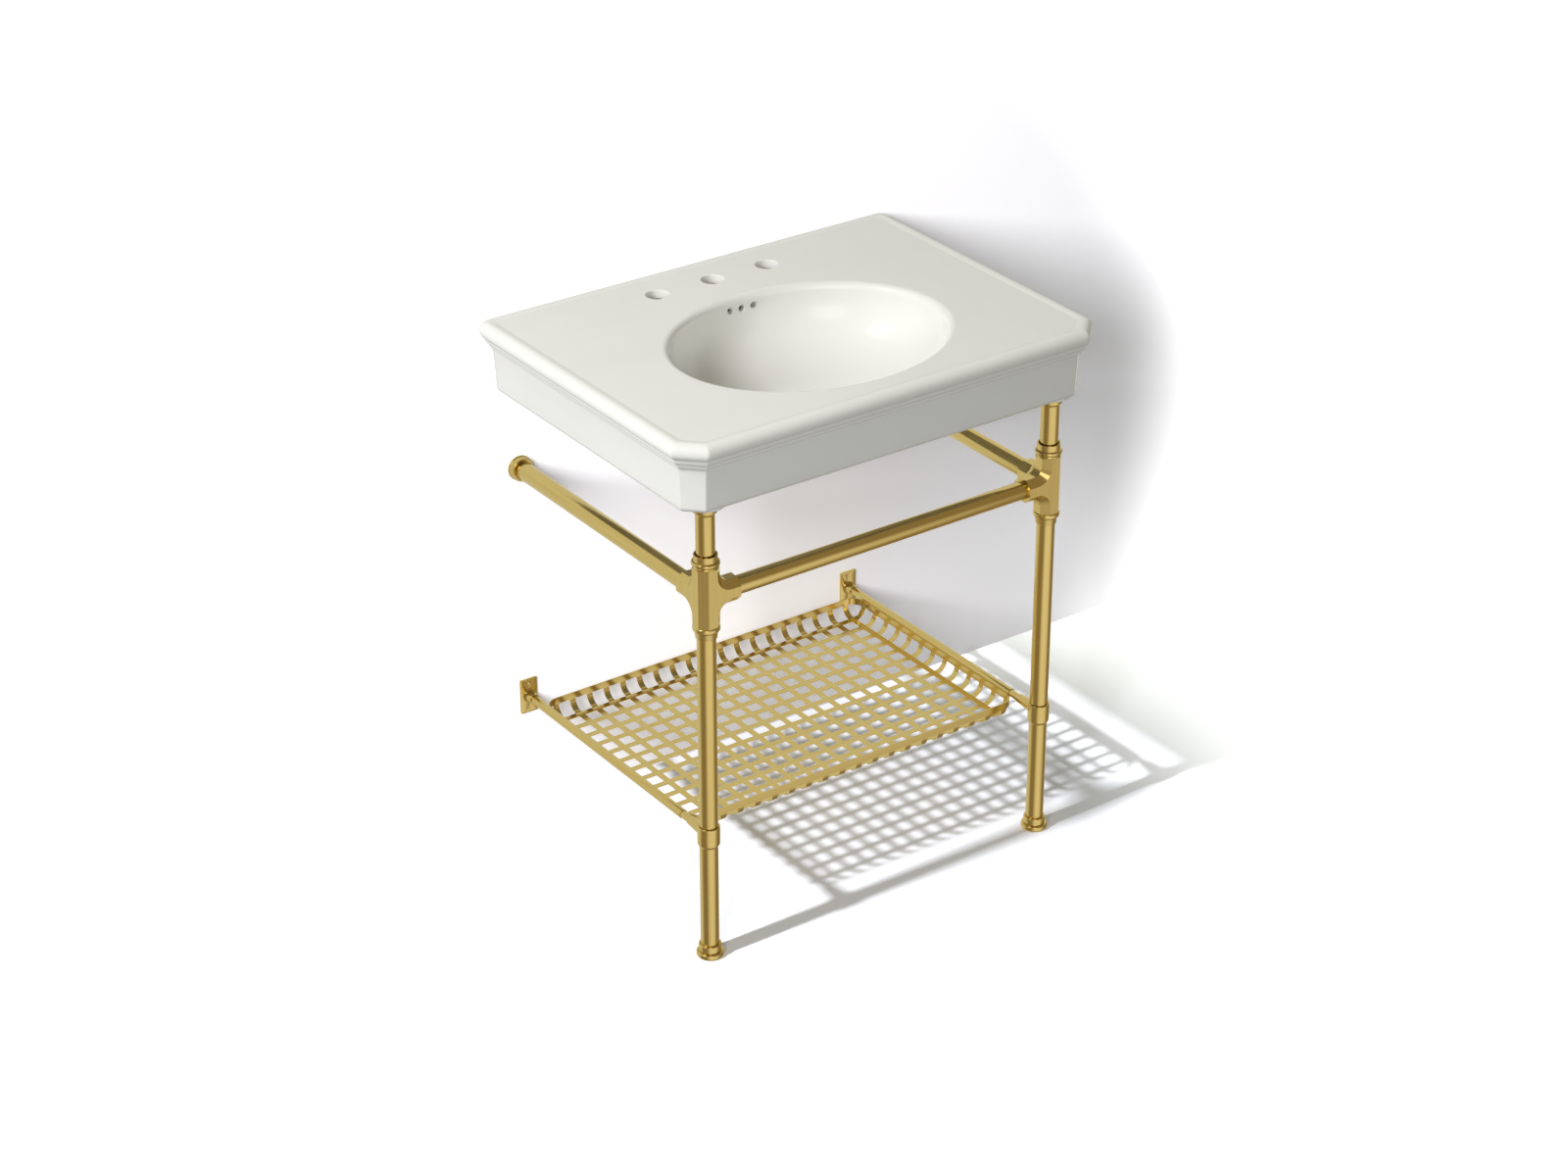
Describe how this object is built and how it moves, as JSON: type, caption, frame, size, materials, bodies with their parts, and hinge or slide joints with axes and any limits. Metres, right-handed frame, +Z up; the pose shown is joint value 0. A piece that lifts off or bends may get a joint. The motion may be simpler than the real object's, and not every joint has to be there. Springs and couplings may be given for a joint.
{
  "type": "console sink with legs",
  "caption": "Ceramic console sink with oval bowl, rolled rim and beaded apron on front legs of tube, with towel rails, a slotted shelf basket and levelling feet.",
  "frame": {"origin": "on the wall plane, at floor level, on the centre line of the sink", "axes": "+X to the right as seen from the room, +Y into the wall, +Z up"},
  "size_m": [0.762, 0.562, 0.8795],
  "materials": {
    "ceramic": "glazed, gloss",
    "brass": "satin brushed",
    "steel": "machined",
    "rubber": "matt",
    "glide": "matt"
  },
  "bodies": {
    "console": {"console_top": "ceramic", "front_rail": "brass", "shelf_basket": "brass", "grub_screws": "steel", "post_bush_left": "rubber", "post_bush_right": "rubber", "post_ferrule_left": "brass", "post_ferrule_right": "brass", "top_post_left": "brass", "top_post_right": "brass", "tee_left": "brass", "tee_right": "brass", "upper_collar_left": "brass", "upper_collar_right": "brass", "lower_collar_left": "brass", "lower_collar_right": "brass", "side_rail_left": "brass", "side_rail_right": "brass", "wall_cup_left": "brass", "wall_cup_right": "brass", "rail_hub_left": "steel", "rail_hub_right": "steel", "leg_tube_left": "brass", "leg_tube_right": "brass", "shelf_collar_left": "brass", "shelf_collar_right": "brass", "rod_inner_left": "brass", "rod_inner_right": "brass", "rod_sleeve_left": "brass", "rod_sleeve_right": "brass", "wall_bracket_left": "brass", "wall_bracket_right": "brass", "foot_collar_left": "brass", "foot_collar_right": "brass", "foot_insert_left": "steel", "foot_insert_right": "steel"},
    "left_glide": {"foot_pad_left": "glide"},
    "left_foot": {"levelling_foot_left": "brass"},
    "right_glide": {"foot_pad_right": "glide"},
    "right_foot": {"levelling_foot_right": "brass"}
  },
  "joints": [
    {"name": "left_foot_travel", "type": "slide", "parent": "console", "child": "left_glide", "axis": [0, 0, 1], "range_m": [-0.012, 0]},
    {"name": "left_foot_turn", "type": "hinge", "parent": "left_glide", "child": "left_foot", "pos_m": [-0.3152, -0.51, 0], "axis": [0, 0, 1], "range_deg": [-2880, 0]},
    {"name": "right_foot_travel", "type": "slide", "parent": "console", "child": "right_glide", "axis": [0, 0, 1], "range_m": [-0.012, 0]},
    {"name": "right_foot_turn", "type": "hinge", "parent": "right_glide", "child": "right_foot", "pos_m": [0.3152, -0.51, 0], "axis": [0, 0, 1], "range_deg": [-2880, 0]}
  ],
  "couplings": [
    {"joint": "left_foot_travel", "follows": "left_foot_turn", "m_per_rad": 0.00023873},
    {"joint": "right_foot_travel", "follows": "right_foot_turn", "m_per_rad": 0.00023873}
  ]
}
